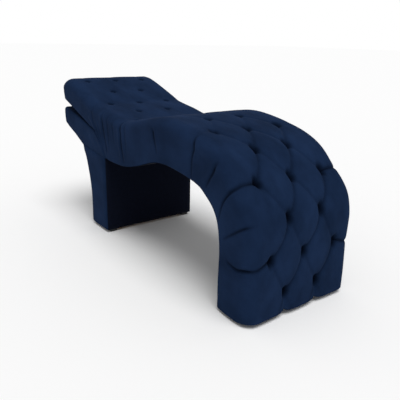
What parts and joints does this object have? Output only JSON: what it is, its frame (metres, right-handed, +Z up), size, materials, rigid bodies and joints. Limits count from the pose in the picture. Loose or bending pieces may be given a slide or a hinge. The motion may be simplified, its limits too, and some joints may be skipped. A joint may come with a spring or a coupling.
{
  "type": "eyelash extension bed",
  "caption": "Wave-shaped treatment couch with a diamond-tufted cover, a curved foot, a box pedestal and a head pad that tilts up on ratchet hinges.",
  "frame": {"origin": "on the floor under the middle of the couch, halfway between the head end, the foot end and the two sides", "axes": "+X towards the foot end, +Y towards the far side of the couch, +Z up"},
  "size_m": [1.9009, 0.64, 0.8997],
  "materials": {
    "cover_cloth": "matte",
    "lining_cloth": "matte",
    "foam": "matte",
    "pine": "matte",
    "plywood": "matte",
    "hardboard": "matte",
    "foot_plastic": "matte",
    "glide_plastic": "satin",
    "zinc_steel": "satin"
  },
  "bodies": {
    "base": {"body_cover": "cover_cloth", "body_foam": "foam", "body_deck": "plywood", "body_lining": "lining_cloth", "body_rail_1": "pine", "body_rail_2": "pine", "body_rail_3": "pine", "body_rail_4": "pine", "body_rail_5": "pine", "body_rail_6": "pine", "body_rail_7": "pine", "side_panel_near": "plywood", "side_panel_far": "plywood", "foot_board": "pine", "foot_glide_inner_near": "glide_plastic", "foot_glide_inner_far": "glide_plastic", "foot_glide_outer_near": "glide_plastic", "foot_glide_outer_far": "glide_plastic", "slab_cover": "cover_cloth", "slab_sheet": "plywood", "slab_lining": "lining_cloth", "slab_rail_outer": "pine", "slab_rail_inner": "pine", "end_rail": "pine", "hinge_gusset": "cover_cloth", "hinge_leaf_fixed_near": "zinc_steel", "hinge_leaf_fixed_far": "zinc_steel", "hinge_pin_near": "zinc_steel", "hinge_pin_far": "zinc_steel", "pedestal_cover": "cover_cloth", "pedestal_skin": "plywood", "pedestal_back": "hardboard", "pedestal_lining": "lining_cloth", "pedestal_side_near": "plywood", "pedestal_side_far": "plywood", "pedestal_rail_top_outer": "pine", "pedestal_rail_top_inner": "pine", "pedestal_rail_low_outer": "pine", "pedestal_rail_low_inner": "pine", "pedestal_bolt_outer_near": "zinc_steel", "pedestal_bolt_outer_far": "zinc_steel", "pedestal_bolt_inner_near": "zinc_steel", "pedestal_bolt_inner_far": "zinc_steel", "pedestal_foot_outer_near": "foot_plastic", "pedestal_foot_outer_far": "foot_plastic", "pedestal_foot_inner_near": "foot_plastic", "pedestal_foot_inner_far": "foot_plastic"},
    "head": {"head_cover": "cover_cloth", "head_foam": "foam", "head_board": "plywood", "head_lining": "lining_cloth", "hinge_leaf_moving_near": "zinc_steel", "hinge_leaf_moving_far": "zinc_steel", "ratchet_drum_near": "zinc_steel", "ratchet_drum_far": "zinc_steel"}
  },
  "joints": [
    {"name": "head_tilt", "type": "hinge", "parent": "base", "child": "head", "pos_m": [-0.5073, 0, 0.6394], "axis": [0, 1, 0], "range_deg": [0, 35], "deforming": ["hinge_gusset"]}
  ]
}
